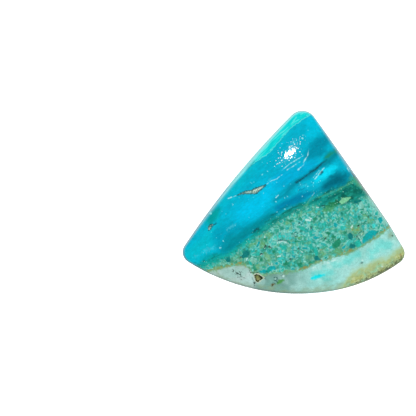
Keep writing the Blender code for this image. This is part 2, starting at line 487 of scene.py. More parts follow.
markings["foot_tint"] = off_strokes(
    [(-8.6, -8.2, 0.05), (-7.1, -8.75, 0.1), (-5, -9.5, 0.1)],
    [(-1.8, -10, 0.1), (1, -10, 0.2), (3, -9.75, 0.3), (4.5, -9.5, 0.3), (5.6, -9.1, 0.3)],
    [(10.7, -3.7, 0.2), (10.95, -3.9, 0.15)],
    [(-3.7, -9.3, 0.1), (-2.6, -9.5, 0.1)],
)
markings["grey_crack"] = off_strokes(
    [(-6.5, -7.7, 0.04), (-6.3, -7.83, 0.08), (-6.1, -7.85, 0.03)],
    [(-6.05, -7.95, 0.04), (-5.85, -8.2, 0.05)],
    [(-6.75, -7.5, 0.03), (-6.6, -7.55, 0.03)],
    [(-5.6, -8.35, 0.03), (-5.5, -8.2, 0.03)],
    [(-4.9, -7.75, 0.04), (-4.65, -7.68, 0.06), (-4.5, -7.9, 0.03)],
    [(-4.2, -7.75, 0.04), (-4, -7.7, 0.05)],
    [(-4.7, -8.3, 0.03), (-4.6, -8.5, 0.03), (-4.3, -8.9, 0.04)],
    [(-3.3, -8.35, 0.03), (-3.2, -8.5, 0.03)],
    [(-2.5, -9.2, 0.08), (-2.4, -9.05, 0.08), (-2.25, -8.9, 0.03)],
    [(-1.45, -8.05, 0.03), (-1.3, -7.93, 0.03)],
)
# Pale healed cracks. The first four strokes, near the highlight, are also painted glints: fine scratches
# painted bright as if they caught the lamp.
markings["pale_crack_and_glint"] = off_strokes(
    [(-1.4, 3.5, 0.02), (-0.6, 4.2, 0.04), (0.2, 4.65, 0.05), (0.9, 5.1, 0.03)],
    [(-0.9, 3.5, 0.01), (-0.1, 4, 0.03), (0.6, 4.45, 0.02)],
    [(0.3, 3.55, 0.06), (0.65, 3.8, 0.03), (1, 4.15, 0.04)],
    [(0.9, 4.25, 0.02), (1.05, 4.55, 0.05), (1.4, 5.1, 0.04), (1.55, 5.9, 0.01)],
    [(2.14, 2.49, 0.02), (2.7, 3.15, 0.06), (3.19, 3.75, 0.05)],
    [(1.97, 2.66, 0.02), (2.67, 3.48, 0.03)],
    [(-7.3, 0.4, 0.04), (-6.9, 0.55, 0.03), (-6.4, 0.7, 0.01)],
    [(-3.1, 1.95, 0.01), (-2.6, 2.35, 0.03), (-2, 2.55, 0.03), (-1.4, 3, 0.02)],
    [(0.95, -0.6, 0.02), (1.3, -0.1, 0.03), (1.7, 0.45, 0.03), (2.1, 1, 0.01)],
    [(-2.1, 0.5, 0.04), (-1.8, 0.8, 0.03)],
    [(5.8, 3.75, 0.04), (6, 3.4, 0.03)],
)
markings["dark_crack"] = off_strokes(
    [(3.5, 4.65, 0.03), (2.9, 4.2, 0.05), (2.25, 3.6, 0.1), (1.6, 3.2, 0.05), (0.9, 2.65, 0.04)]
    + [(0.15, 2.15, 0.08)],
    [(2.72, 2.98, 0.02), (2.99, 3.34, 0.04)],
    [(2.6, -0.55, 0.05), (3.15, -0.35, 0.07)],
    [(-4.4, -3.1, 0.04), (-4.15, -2.93, 0.1), (-3.95, -2.85, 0.06)],
    [(6.95, -3.45, 0.05), (6.8, -3.8, 0.07), (7.1, -4.15, 0.06), (7.25, -4.45, 0.04)],
    [(6.95, -3.45, 0.05), (7.2, -3.25, 0.06)],
    [(7.5, -3.3, 0.04), (7.75, -3.1, 0.05)],
    [(-2, -4.26, 0.05), (-1.4, -4.14, 0.07), (-0.9, -4.22, 0.05)],
    [(-0.16, -3.45, 0.05), (0, -3.3, 0.06), (0.22, -3.34, 0.04), (0.3, -3.52, 0.05)],
    [(-0.14, -3.66, 0.04), (0.06, -3.76, 0.05), (0.22, -3.7, 0.04)],
    [(-9.05, -2.55, 0.02), (-8.85, -2.5, 0.05), (-8.65, -2.35, 0.03)],
    [(6.2, 3.5, 0.03), (6.6, 2.8, 0.05)],
    [(-2.28, -8.3, 0.05), (-2.1, -8.2, 0.05), (-1.93, -8.36, 0.05), (-2.02, -8.6, 0.05)]
    + [(-2.24, -8.58, 0.05)],
    [(-2.02, -8.62, 0.04), (-1.88, -8.8, 0.06)],
    [(-2.5, -8.95, 0.04), (-2.3, -8.86, 0.05), (-2.14, -9.05, 0.05)],
)
markings["teal_chip"] = off_chips(
    [(7.4, -3.85), (7.95, -3.35), (8.2, -3.05), (9.2, -3.1), (9.05, -3.5), (8.2, -4.25)]
    + [(7.7, -4.65), (7.35, -4.45)],
    [(9.1, -1.7), (9.65, -1.65), (9.75, -2), (9.5, -2.35), (9.25, -2.2)],
    [(8.7, -1.5), (8.95, -1.1), (9.1, -1.45)],
    [(1.9, -3.95), (2.1, -3.7), (2.7, -3.75), (2.75, -3.95), (2.3, -4.05)],
    [(4.2, -2.3), (4.35, -2), (4.7, -2.5), (4.5, -2.75), (4.2, -2.65)],
    [(3.45, -2), (3.65, -1.85), (3.8, -2.1), (3.6, -2.25)],
    [(5, -1.7), (5.25, -1.65), (5.35, -2), (5.1, -2.1)],
    [(0.7, -5), (1, -4.85), (1.5, -5.05), (1.35, -5.25), (0.9, -5.15)],
    [(5.25, -5.2), (5.15, -4.95), (5.45, -4.6), (5.6, -4.75), (5.4, -5.15)],
    [(-4, -7.55), (-3.5, -7.4), (-3.05, -7.4), (-3, -7.1), (-2.2, -6.95)]
    + [(-2.1, -7.4), (-2.6, -7.55), (-3.1, -7.85), (-3.7, -7.9)],
    [(-4.3, -4.9), (-4.1, -4.35), (-3.9, -4.4), (-4, -4.9)],
    [(-0.4, -6), (-0.35, -5.75), (0, -5.9), (-0.1, -6.1)],
    [(-0.5, -7.4), (-0.35, -7.2), (0, -7.25), (-0.1, -7.5)],
    [(-2.3, -6.6), (-1.9, -6.5), (-1.8, -6.75), (-2.1, -6.9)],
    [(3.2, -6.1), (3.5, -5.95), (3.7, -6.05), (3.4, -6.2)],
)
markings["green_chip"] = off_chips(
    [(4, -4.7), (4.3, -4.4), (4.8, -4), (5, -4.3), (4.7, -4.9), (4.2, -5)],
    [(0.3, -6.7), (0.6, -6.6), (0.9, -6.95), (0.75, -7.2), (0.4, -7.1)],
    [(-3.4, -4), (-3.15, -3.95), (-3.05, -4.3), (-3.25, -4.45)],
    [(-1.3, -6.75), (-1, -6.45), (-0.7, -6.7), (-1.1, -6.95)],
    [(-4.55, -6.8), (-4.4, -6.7), (-4.25, -7.4), (-4.5, -7.55)],
    [(-0.75, -2), (-0.5, -1.9), (-0.25, -2), (-0.5, -2.2)],
    [(3.4, -3.4), (3.6, -3.2), (3.8, -3.4), (3.6, -3.7)],
    [(4, -3.7), (4.2, -3.5), (4.4, -3.75), (4.15, -3.95)],
    [(5.15, -3.35), (5.4, -3.15), (5.55, -3.4), (5.3, -3.5)],
    [(2, -1.8), (2.2, -1.7), (2.25, -2.1), (2.05, -2.1)],
    [(2.55, -1.8), (2.9, -1.65), (3, -1.85), (2.7, -1.95)],
    [(0, -4.3), (0.2, -4.1), (0.4, -4.3), (0.15, -4.45)],
    [(1.6, -6.6), (1.8, -6.45), (2.15, -6.5), (1.9, -6.75)],
    [(-3.9, -6.3), (-3.6, -6.15), (-3.5, -6.4), (-3.8, -6.5)],
    [(-2.5, -5.35), (-2.3, -5.1), (-2.15, -5.4), (-2.35, -5.6)],
)
markings["jade_chip"] = off_chips(
    [(0.4, -2.7), (0.9, -2.65), (1.2, -3), (0.95, -3.15), (0.5, -2.98)],
    [(-1.65, -4.8), (-1.2, -4.65), (-0.9, -5), (-1.2, -5.3), (-1.5, -5.15)],
    [(1.95, -5), (2.35, -5), (2.55, -5.7), (2.3, -5.9), (2.1, -5.5)],
    [(1.5, -4.6), (1.85, -4.5), (1.95, -5.1), (1.7, -5.2)],
    [(6.6, -4.3), (6.85, -4.1), (7.15, -4.3), (7.3, -4.6), (7.2, -4.95), (6.85, -5.05), (6.65, -4.75)],
    [(1.5, -3.2), (1.8, -3.1), (1.9, -3.6), (1.7, -3.95), (1.55, -3.6)],
    [(-1.9, -3.6), (-1.6, -3.5), (-1.4, -3.8), (-1.7, -4)],
    [(8.9, -1.3), (9.05, -0.95), (9.25, -1.1), (9.15, -1.4)],
    [(2.9, -2.3), (3.3, -2.2), (3.4, -2.5), (3, -2.6)],
    [(4.9, -2.6), (5.2, -2.4), (5.3, -2.75), (5, -2.9)],
    [(3.5, -1.2), (3.8, -1.1), (3.9, -1.4), (3.6, -1.5)],
    [(-4.3, -5.6), (-4, -5.3), (-3.8, -5.7), (-4.1, -5.9)],
    [(-5.1, -6.5), (-4.9, -6.2), (-4.7, -6.9), (-4.9, -7)],
)
markings["dark_chip"] = off_chips(
    [(-5.6, -5.35), (-5.2, -5.25), (-5.05, -5.6), (-5.15, -6), (-5.6, -6.2), (-5.8, -6.05)],
    [(5.7, -3.5), (6, -3.35), (6.3, -3.6), (6.4, -4), (6.15, -4.2), (5.85, -3.9)],
    [(2, -6.05), (2.4, -5.9), (2.9, -6.3), (2.5, -6.45), (2.2, -6.35)],
    [(6.4, 1.4), (7, 1.5), (7.2, 1.2), (6.5, 0.9)],
    [(6.2, 0), (6.9, 0.25), (7.4, 0.2), (6.8, -0.1)],
    [(-7.6, -6.1), (-7.2, -6), (-7, -6.4), (-7.4, -6.6)],
    [(5.9, -4.9), (6.1, -4.6), (6.5, -4.7), (6.6, -5.05), (6.2, -5.1)],
)
markings["aqua_chip"] = off_chips(
    [(4, -1.75), (4.15, -1.6), (4.4, -1.7), (4.35, -1.85), (4.1, -1.9)],
    [(5.3, -2.85), (5.45, -2.65), (5.65, -2.7), (5.5, -2.95)],
    [(8.45, -2.6), (8.6, -2.3), (8.9, -2.4), (8.9, -2.75), (8.6, -2.85)],
    [(2.6, -3.5), (2.65, -3.25), (2.8, -3.3), (2.75, -3.55)],
    [(-1.8, -3.7), (-1.6, -3.6), (-1.55, -3.85), (-1.75, -3.9)],
    [(-1.4, -3.7), (-1.2, -3.6), (-1.1, -3.8), (-1.3, -3.9)],
    [(-1.9, -5.4), (-1.6, -5.2), (-1.4, -5.5), (-1.7, -5.7)],
    [(-1.9, -6.2), (-1.3, -6), (-1.2, -6.2), (-1.7, -6.4)],
    [(-0.7, -3.9), (-0.5, -3.75), (-0.4, -4), (-0.6, -4.1)],
    [(6.2, -1), (6.4, -0.8), (6.5, -1), (6.3, -1.1)],
)
markings["pale_chip"] = off_strokes(
    [(-2, -4.5, 0.03), (-1.9, -4.4, 0.04), (-1.4, -4.3, 0.05), (-0.9, -4.4, 0.04), (-0.5, -4.7, 0.04)],
    [(1.2, -1.95, 0.1), (1.6, -2.02, 0.12)],
    [(1.4, -1.68, 0.06), (1.75, -1.78, 0.05)],
    [(-1.95, -5.92, 0.05), (-1.6, -5.86, 0.07)],
    [(6.85, -3.6, 0.02), (7.15, -3.95, 0.05), (7.35, -4.4, 0.03)],
    [(7.25, -3.6, 0.04), (7.4, -3.4, 0.04)],
    [(-2.55, -6.72, 0.06), (-2.5, -6.92, 0.05)],
    [(0.6, -5.35, 0.05), (0.85, -5.5, 0.04)],
    [(6.2, -2.75, 0.1), (6.25, -2.6, 0.08)],
    [(-5.3, -6.3, 0.07), (-5.2, -6.1, 0.05)],
    [(2.4, -0.6, 0.08), (2.5, -0.58, 0.06)],
    [(-3.35, -3.8, 0.08)],
    [(-1.25, -8.1, 0.13)],
    [(-2.1, -8.4, 0.06)],
    [(-9.36, -2.98, 0.06)],
    [(-9.02, -2.5, 0.05)],
    [(7.35, -6.38, 0.08), (7.5, -6.42, 0.07)],
    [(9.65, -7.15, 0.1)],
    [(4.1, -6.45, 0.1), (4.4, -6.35, 0.08)],
    [(1.95, -7.2, 0.08), (2.2, -7.1, 0.05)],
    [(3.6, -6.65, 0.08), (3.8, -6.65, 0.06)],
)
markings["leaf"] = off_chips(
    [(4.81, 0.03), (5.18, 0.45), (5.7, 0.5), (6.1, 0.58), (6.12, 0.48), (5.75, 0.13), (5.12, -0.29)]
)
markings["rust"] = off_strokes(
    [(-6.05, -6.68, 0.08), (-5.85, -6.6, 0.05)],
    [(-5.35, -7.08, 0.09)],
    [(-4.1, -7.15, 0.07)],
    [(-2.8, -6.78, 0.07)],
    [(2.75, -5.2, 0.1)],
    [(1, -7.25, 0.09), (1.15, -7.22, 0.06)],
    [(5.4, -5.5, 0.09)],
    [(5.95, -5.42, 0.1)],
    [(9.2, -3.7, 0.06)],
    [(9.9, -3.1, 0.07)],
    [(11.75, -5.8, 0.11)],
    [(9.2, -6.75, 0.07)],
    [(-2.45, -9.1, 0.12), (-2.35, -9, 0.08)],
    [(2.9, -6.32, 0.07)],
)
markings["gold"] = off_strokes(
    [(-9.8, -7.62, 0.02), (-8, -7.15, 0.04), (-7, -6.92, 0.05), (-5.9, -6.65, 0.1)],
    [(0.3, -7.38, 0.03), (1.2, -7.2, 0.08), (1.6, -6.98, 0.02)],
    [(4.9, -5.72, 0.06), (5.6, -5.5, 0.12), (6.3, -5.25, 0.05)],
    [(8.8, -3.95, 0.04), (9.5, -3.4, 0.1), (10.4, -2.8, 0.12)],
    [(6.1, -2.8, 0.03), (6.25, -3.1, 0.03)],
    [(6.7, -3.15, 0.05), (6.95, -2.95, 0.06)],
    [(-4.1, -7, 0.08)],
)
markings["ashy"] = off_strokes(
    [(-2.6, -4.1, 0.4), (-0.6, -3.4, 0.6), (1.2, -2.5, 0.5)],
    [(8.2, -1.1, 0.25), (8.9, -2.3, 0.3), (9.5, -2.7, 0.2)],
)
markings["bleached"] = off_strokes([(8.4, 0.6, 0.15), (8.9, -0.4, 0.45), (9.6, -1.4, 0.4), (10.3, -2.4, 0.3)])
markings["crackled"] = off_strokes(
    [(-6.9, -7.5, 0.05), (-6.2, -7.85, 0.2), (-5.7, -8.3, 0.15)],
    [(-4.95, -7.8, 0.05), (-4.5, -7.85, 0.15)],
    [(-4.4, -8.9, 0.1)],
)
markings["moss"] = off_strokes(
    [(-2.9, -3.6, 0.2), (-2.85, -3.9, 0.12)],
    [(-3.5, -4.5, 0.12), (-3.7, -4.9, 0.12)],
    [(-4.1, -6.9, 0.12), (-4.1, -7.2, 0.12)],
    [(0.3, -3.85, 0.12), (0.55, -3.85, 0.12)],
    [(-0.9, -2.4, 0.12), (-0.7, -2.35, 0.08)],
    [(3.2, -5.7, 0.1), (2.9, -5.5, 0.08)],
    [(7.7, -1.5, 0.1), (8.3, -2.1, 0.15), (8.5, -2, 0.08)],
    [(-4.5, -4.55, 0.15), (-4.9, -4.8, 0.12)],
    [(4.6, -5.3, 0.2), (5, -5.7, 0.15)],
    [(6.1, -2.8, 0.12), (6.6, -3.2, 0.15), (7, -2.8, 0.1)],
    [(-3.2, -5.8, 0.15), (-2.8, -6.3, 0.15)],
)
specks = []
for size, spots in (
    (0.1, [(-8.2, -5.02), (0.85, 7), (-0.18, 6.6), (-9.22, -1.25)]),
    (0.07, [(-6.8, -0.28), (-7.85, -4.25), (0.92, 7.35), (-1.15, -0.8), (-2.6, -2.25), (-2, -1.1)]),
    (0.04, [(0.2, 6.8), (0.5, 6.8), (-0.45, -0.55), (-2.1, 0), (-7.8, -5.05), (-1.15, 0.45), (-0.85, 0.6)]),
    (0.03, [(-3.6, 2.95), (-3, 3.4), (-1.2, 1.75), (0.75, 0.6), (-6.1, 0.55), (-4.8, 2.1), (-3.45, 0.95)]),
):
    specks += [[(*spot, size)] for spot in spots]
markings["speck"] = off_strokes(*specks)
# Where the painted glints round the highlight gather, thickest near its middle.
markings["painted_glint_zone"] = off_strokes(
    [(-1, 5, 0.35), (0.1, 5.9, 0.3)],
    [(-2.1, 4.4, 0.05), (-1.2, 4.8, 0.2)],
    [(0.1, 6.1, -0.05), (0.8, 6.9, -0.5)],
)
markings["pit"] = off_strokes(
    [(-3.35, -5, 0.06), (-3.2, -4.75, 0.09)],
    [(-2.85, -4.85, 0.1), (-2.6, -5.02, 0.04)],
    [(-3.75, -5.65, 0.09), (-3.6, -5.65, 0.09)],
    [(-5.95, -6.05, 0.09)],
    [(0.42, -2.3, 0.09)],
    [(0.75, -2.42, 0.06)],
    [(6.95, -2.6, 0.1)],
    [(7.35, -6.65, 0.1)],
    [(-6.3, -7.83, 0.1)],
    [(-5.95, -7.95, 0.06)],
    [(-0.5, -6.25, 0.08)],
    [(8.05, -1.65, 0.06)],
    [(10.8, -3.7, 0.09)],
    [(4.2, -1.65, 0.04)],
    [(2.6, -0.98, 0.06)],
    [(-4.45, -8.85, 0.08)],
    [(1.75, -2.85, 0.08)],
    [(3.3, -4, 0.09)],
    [(0.35, -5.1, 0.08)],
)
# The open crack in the blue opal with a smaller one at its left, and the olive hollow in the pale rock.
markings["open_crack"] = off_chips(
    [(-6.4, 0.74), (-5.9, 1), (-5.4, 1.22), (-4.85, 1.32), (-4.5, 1.46), (-4.2, 1.58), (-3.8, 1.73)]
    + [(-3.2, 1.92), (-3.25, 1.75), (-3.5, 1.53), (-3.8, 1.27), (-4.1, 1.0), (-4.4, 0.88), (-5, 0.9)]
    + [(-5.5, 0.88), (-6.1, 0.8)],
    [(-9.5, -3.1), (-9.52, -2.7), (-9.2, -2.4), (-8.98, -2.42), (-9.12, -2.8), (-9.3, -3.08)],
)
markings["hollow"] = off_chips(
    [(-4.45, -8.05), (-4.25, -7.9), (-3.9, -8), (-3.45, -8.3), (-3.75, -8.5), (-4.05, -8.78), (-4.2, -8.65)]
)
markings["hollow_pit"] = off_strokes(
    [(-4.28, -8.03, 0.07)],
    [(-4.13, -8.68, 0.06)],
    [(-3.9, -8.1, 0.05), (-3.62, -8.35, 0.08)],
)
markings["burnt_rim"] = off_strokes(
    [(6.4, -9.4, 0.02), (7.5, -9, 0.05), (9.2, -8.2, 0.16), (10.5, -7.45, 0.2), (11.4, -6.8, 0.1)]
    + [(12, -6.2, 0.05)],
)

# The stretch inside the dome's edge that is thin enough to let light through. It is widest along the upper
# left side, fades towards the foot and the right side, and narrows down the girdle.
EDGE_GLOW = 0.3
EDGE_GLOW_FADES = (-4.5, 4)
EDGE_GLOW_AT_RIGHT = 0.4
EDGE_GLOW_TURNS = (0.5, 2.5)
GLOW_DOWN_SIDE = 0.2
edge_reach = reach(all_theta) - GIRDLE_TAPER
edge_x = CREST[0] + edge_reach * np.cos(all_theta)
edge_y = CREST[1] + edge_reach * np.sin(all_theta)
glow_width = EDGE_GLOW * np.interp(edge_y, EDGE_GLOW_FADES, (0, 1))
glow_width *= np.interp(edge_x, EDGE_GLOW_TURNS, (1, EDGE_GLOW_AT_RIGHT))
inward = edge_reach - np.hypot(points[:, 0] - CREST[0], points[:, 1] - CREST[1])
markings["thin_edge"] = np.maximum(inward, 0) - glow_width + GLOW_DOWN_SIDE * depth

# The pits, hollows and open cracks as real relief: (marking, depth, width of the sloping edge), in mm.
RELIEF = (
    ("open_crack", 0.08, 0.14),
    ("hollow", 0.2, 0.12),
    ("hollow_pit", 0.12, 0.1),
    ("pit", 0.14, 0.12),
    ("dark_crack", 0.01, 0.15),
    ("burnt_rim", 0.03, 0.3),
)
sink = np.zeros(len(points))
for name, deep, slope in RELIEF:
    inside = np.clip(0.5 - markings[name] / slope, 0, 1)
    sink += deep * inside**2 * (3 - 2 * inside)
on_dome = np.arange(len(points)) < dome_count
points[:, 2] -= np.where(on_dome, sink, 0)

cells = np.stack([index[:-1, :-1], index[:-1, 1:], index[1:, 1:], index[1:, :-1]], axis=-1).reshape(-1, 4)
loops = np.vstack([rim, dome_count + np.arange(lower_radius.size).reshape(lower_radius.shape)])
following = np.roll(loops, -1, axis=1)
walls = np.stack([loops[:-1], loops[1:], following[1:], following[:-1]], axis=-1).reshape(-1, 4)
last = np.full(len(rim), len(points) - 1)
closing = np.stack([loops[-1], last, following[-1]], axis=-1)
stone_mesh = bpy.data.meshes.new("polished_cabochon")
stone_mesh.from_pydata(points * MM, [], [*cells.tolist(), *walls.tolist(), *closing.tolist()])
stone_mesh.shade_smooth()
for name, distance in markings.items():
    stone_mesh.attributes.new(name, "FLOAT", "POINT").data.foreach_set("value", distance.astype(np.float32))
bed_place = np.column_stack([x, y, points[:, 2]]).astype(np.float32)
stone_mesh.attributes.new("bed_place", "FLOAT_VECTOR", "POINT").data.foreach_set("vector", bed_place.ravel())
stone = bpy.data.objects.new("polished_cabochon", stone_mesh)
scene.collection.objects.link(stone)

# The stone's finish
# Common opal takes a glassy polish over a slightly uneven body, so it is deep in colour with small, crisp
# highlights. The crumbly beds polish less well, and the sawn back is only smoothed.
OPAL_IOR = 1.45
GLASSY = 0.05
CRUMBLY = 0.18
SMOOTHED = 0.4
ROUGH_PIT = 0.55

# Degrees by which the beds, the aqua bed's stripes and the green bed's streaks run up to the right.
BED_SLANT = 36
AQUA_SLANT = 47
GREEN_SLANT = 26

opal = bpy.data.materials.new("polished_common_opal")
opal.use_nodes = True
body = opal.node_tree
shader = body.nodes["Principled BSDF"]
stone_mesh.materials.append(opal)


def lay(under, colour, measure, none_at, all_at, most=1.0):
    """Lays a mineral over a colour: its share is 0 where the measure is none_at, and rises smoothly to most
    where it is all_at. A Mix node's two colours are its inputs 6 and 7, and the mixed one is its output 2.
    """
    limits = {"Value": measure, "From Min": none_at, "From Max": all_at, "To Min": 0, "To Max": most}
    share = add(body, "ShaderNodeMapRange", limits, interpolation_type="SMOOTHSTEP")
    under, colour = (linear(one) if isinstance(one, str) else one for one in (under, colour))
    return add(body, "ShaderNodeMix", {0: share, 6: under, 7: colour}, give=2, data_type="RGBA")


def swayed(measure, noise, most):
    """A measure swayed up and down by a noise: measure + noise * most."""
    return add(body, "ShaderNodeMath", {0: noise, 1: most, 2: measure}, operation="MULTIPLY_ADD")


def marking(name, noise=None, most=0.0):
    """A marking's signed distance in mm, swayed in and out by a noise if there is one."""
    distance = add(body, "ShaderNodeAttribute", give="Fac", attribute_name=name)
    return distance if noise is None else swayed(distance, noise, most)


def mottle(colour, noise, most):
    """Darkens and lightens a colour with a noise: colour * (1 + noise * most)."""
    factor = swayed(1.0, noise, most)
    return add(body, "ShaderNodeVectorMath", {0: colour, "Scale": factor}, operation="SCALE")


def run_out(slant, stretch):
    """Places turned to a bed's slant in degrees and drawn out along it, for streaks that follow the bed."""
    level = add(body, "ShaderNodeMapping", {"Vector": place, "Rotation": (0, 0, -math.radians(slant))})
    return add(body, "ShaderNodeMapping", {"Vector": level, "Scale": (1 / stretch, 1, 1)})


def crumb_chance(spacing):
    """A number from 0 to 1 by chance for each of the crumbs that fill the rock, spacing mm apart."""
    shade = add(body, "ShaderNodeTexVoronoi", {"Vector": place, "Scale": 1 / spacing}, give="Color")
    return add(body, "ShaderNodeSeparateColor", {0: shade})


def into_crumb(spacing):
    """How far in from its crumb's edge a point is, as a share of the crumbs' spacing in mm."""
    cells = {"Vector": place, "Scale": 1 / spacing}
    return add(body, "ShaderNodeTexVoronoi", cells, give="Distance", feature="DISTANCE_TO_EDGE")


def sprinkle(spacing, smallest, largest):
    """How far inside the nearest of many scattered specks a point is, as a share of their spacing in mm.

    It is the speck's radius less the distance from its middle. The radius is between the smallest and largest
    by chance, and one below 0 is no speck.
    """
    radius = swayed(smallest, crumb_chance(spacing), largest - smallest)
    off_middle = add(body, "ShaderNodeTexVoronoi", {"Vector": place, "Scale": 1 / spacing}, give="Distance")
    return add(body, "ShaderNodeMath", {0: radius, 1: off_middle}, operation="SUBTRACT")


place = add(body, "ShaderNodeAttribute", give="Vector", attribute_name="bed_place")
along = add(body, "ShaderNodeSeparateXYZ", {0: place}, give="X")
up = add(body, "ShaderNodeSeparateXYZ", {0: place}, give="Z")
drawn_out = run_out(BED_SLANT, 3.3)

# The unevenness of the minerals, as noises of about -1 to 1: where each is read, the size of its patches in
# mm, and its detail. The first two, the stripes and the green streaks are drawn out along a bed.
noises = []
for where, size, detail in (
    (drawn_out, 0.9, 2.0),
    (drawn_out, 0.3, 3.0),
    (run_out(AQUA_SLANT, 10), 0.18, 1.0),
    (run_out(GREEN_SLANT, 4), 0.3, 3.0),
    (place, 2.2, 2.0),
    (place, 0.8, 2.0),
    (place, 0.3, 2.0),
    (place, 0.14, 1.0),
    (place, 0.22, 0.0),
):
    reading = {"Vector": where, "Scale": 1 / size, "Detail": detail}
    noises.append(add(body, "ShaderNodeTexNoise", reading, noise_dimensions="3D", normalize=False))
drift, streaks, stripes, green_streaks, broad, middling, fine, grit, ripple = noises

# Blue opal: cyan to teal clouds drawn out along the beds, with a bright one at the left and a deep one at the
# right.
blue = "02B2CD"
for colour, cloud, sway, none_at, all_at in (
    ("04BCCD", "left_edge", 0.5, 0.8, -0.8),
    ("00A1BB", "lower_cloud", 0.4, 0.7, -0.5),
    ("01AFD6", "azure", 0.4, 0.8, -0.5),
    ("00C4EA", "glow", 0.4, 1.2, -0.8),
    ("00C2E0", "point_glow", 0.3, 0.7, -0.4),
    ("0090AA", "point_shade", 0.3, 0.5, -0.35),
    ("018C9A", "shade", 0.3, 0.7, -0.4),
    ("0086AA", "deep", 0.35, 0.5, -0.4),
    ("048CA2", "seam_shade", 0.25, 0.4, -0.3),
):
    blue = lay(blue, colour, marking(cloud, drift, sway), none_at, all_at)
blue = lay(blue, "06BCD8", marking("mottled", streaks, 0.6), 0.5, -0.3, 0.8)
blue = lay(blue, "0694B6", marking("mottled", streaks, 1.4), -0.3, -0.6, 0.6)
blue = lay(blue, "016C80", marking("deepest", drift, 0.35), 0.75, -0.5)
blue = lay(blue, "08DCF6", marking("flash", streaks, 0.3), 0.45, -0.25)
blue = lay(blue, "02A2A2", marking("lagoon", drift, 0.3), 0.6, -0.3)
blue = lay(blue, "40C4D8", marking("haze", fine, 0.4), 0.2, -0.2, 0.6)
blue = mottle(blue, streaks, 0.13)
blue = mottle(blue, fine, 0.08)
blue = mottle(blue, grit, 0.08)
# Pale cracks, with painted glints along the fine scratches near the highlight.
blue = lay(blue, "A8F0F6", marking("pale_crack_and_glint", fine, 0.07), 0.05, -0.05, 0.85)
blue = lay(blue, "046C84", marking("dark_crack", fine, 0.1), 0.16, 0.0, 0.7)

# Tiny bubbles and crystals show in it as pale specks, here a little over their real size of 0.05 mm. They
# are thickest in the mottled place.
blue = lay(blue, "58D8E6", sprinkle(0.5, -0.08, 0.14), -0.06, 0.06, 0.7)
blue = lay(blue, "8CECF0", marking("speck", grit, 0.12), 0.05, -0.04, 0.8)
glint = swayed(sprinkle(0.2, -0.2, 0.3), marking("mottled", streaks, 0.5), -0.4)
blue = lay(blue, "7CF4FC", glint, 0.02, 0.18, 0.8)

# The aqua bed along the left edge, in fine pale stripes, with a thin pale lower skin, and the green streaks
# at both sides.
above_aqua = marking("aqua_bed", fine, 0.13)
aqua = lay("0CDCDC", "02C8CC", stripes, -0.1, -0.5, 0.7)
aqua = lay(aqua, "6CF2E8", stripes, 0.1, 0.5, 0.65)
aqua = lay(aqua, "30E8E6", above_aqua, 0.8, 1.5, 0.6)
aqua = lay(aqua, "7CEEE6", above_aqua, 0.12, 0.04, 0.6)
blue = lay(blue, aqua, above_aqua, -0.1, 0.08)
blue = lay(blue, "03868C", marking("green_streak", drift, 0.2), 0.5, 0.1, 0.6)
blue = lay(blue, "1A8E74", marking("green_streak", streaks, 0.15), 0.18, -0.1, 0.9)

# Painted glints: near-white specks round the highlight, where tiny pits in the polish would catch the lamp,
# closest together near its middle.
painted_glint_specks = swayed(sprinkle(0.2, 0.16, 0.46), marking("painted_glint_zone"), -0.3)
blue = lay(blue, "F0FFFF", painted_glint_specks, -0.02, 0.08, 0.9)

# The green bed under the blue, streaked along its run and paler at its lower margin, with dark flecks and
# pale crystals in it, and the pale leaf.
green = lay("079C98", "109088", along, -4.5, -2.5)
green = lay(green, "14806F", along, 2.5, 5)
green = lay(green, "086660", green_streaks, -0.03, -0.42, 0.85)
green = lay(green, "24A898", green_streaks, 0.1, 0.5, 0.75)
margin = lay("1EB6A6", "1C988A", along, -5, -3)
green = lay(green, margin, marking("crumb_bed", green_streaks, 0.3), 0.8, 0.2, 0.5)
green = lay(green, "44A884", marking("olive_streak", green_streaks, 0.15), 0.12, -0.06, 0.7)
green = lay(green, "207A4C", marking("olive", fine, 0.3), 0.3, -0.2, 0.9)
green = lay(green, "0A6658", marking("dark_chip", fine, 0.2), 0.2, -0.15, 0.8)
green = lay(green, "10604C", marking("leaf", fine, 0.3), 0.45, -0.05, 0.75)
green = lay(green, "7CCC9C", marking("leaf", fine, 0.06), 0.05, -0.05)
green = mottle(green, fine, 0.18)
green = mottle(green, grit, 0.2)
green = lay(green, "0A6A64", sprinkle(0.4, -0.2, 0.42), 0.0, 0.2, 0.6)
green = lay(green, "8CE0C8", sprinkle(0.22, -0.12, 0.34), 0.0, 0.12, 0.7)
rock = lay(blue, green, marking("green_bed", green_streaks, 0.4), 0.45, -0.35)

# The breccia: crumbs of teal, green and aqua opal in a paler matrix, with finer grains and some larger lumps
# among them. These are their spacings in mm.
CRUMB = 0.34
GRAIN = 0.22
LUMP = 0.7
crumb_pick = crumb_chance(CRUMB)
grain_pick = crumb_chance(GRAIN)
lump_pick = crumb_chance(LUMP)
matrix = lay("44B4A4", "66C4BA", middling, 0, 0.45)
matrix = lay(matrix, "34A48C", middling, -0.05, -0.45)
matrix = lay(matrix, "5CB08C", broad, 0.05, 0.5, 0.5)
matrix = lay(matrix, "349A86", marking("low_crumbs", middling, 0.6), 0.6, -0.6, 0.6)
matrix = lay(matrix, "86C6BE", marking("ashy", middling, 0.6), 0.5, -0.5, 0.5)
crumb = "22A488"
for colour, none_at, all_at in (
    ("3AC0B6", 0.16, 0.2),
    ("0CB0AA", 0.38, 0.42),
    ("62B28C", 0.54, 0.57),
    ("76CABE", 0.72, 0.74),
    ("128A74", 0.88, 0.9),
):
    crumb = lay(crumb, colour, crumb_pick, none_at, all_at)
breccia = lay(matrix, crumb, swayed(into_crumb(CRUMB), middling, 0.16), 0.03, 0.11, 0.82)
into_lump = swayed(into_crumb(LUMP), middling, 0.1)
rim_of_lump = lay(breccia, "8CD2C4", lump_pick, 0.66, 0.68, 0.6)
breccia = lay(breccia, rim_of_lump, into_lump, 0.08, 0.12)
lump = breccia
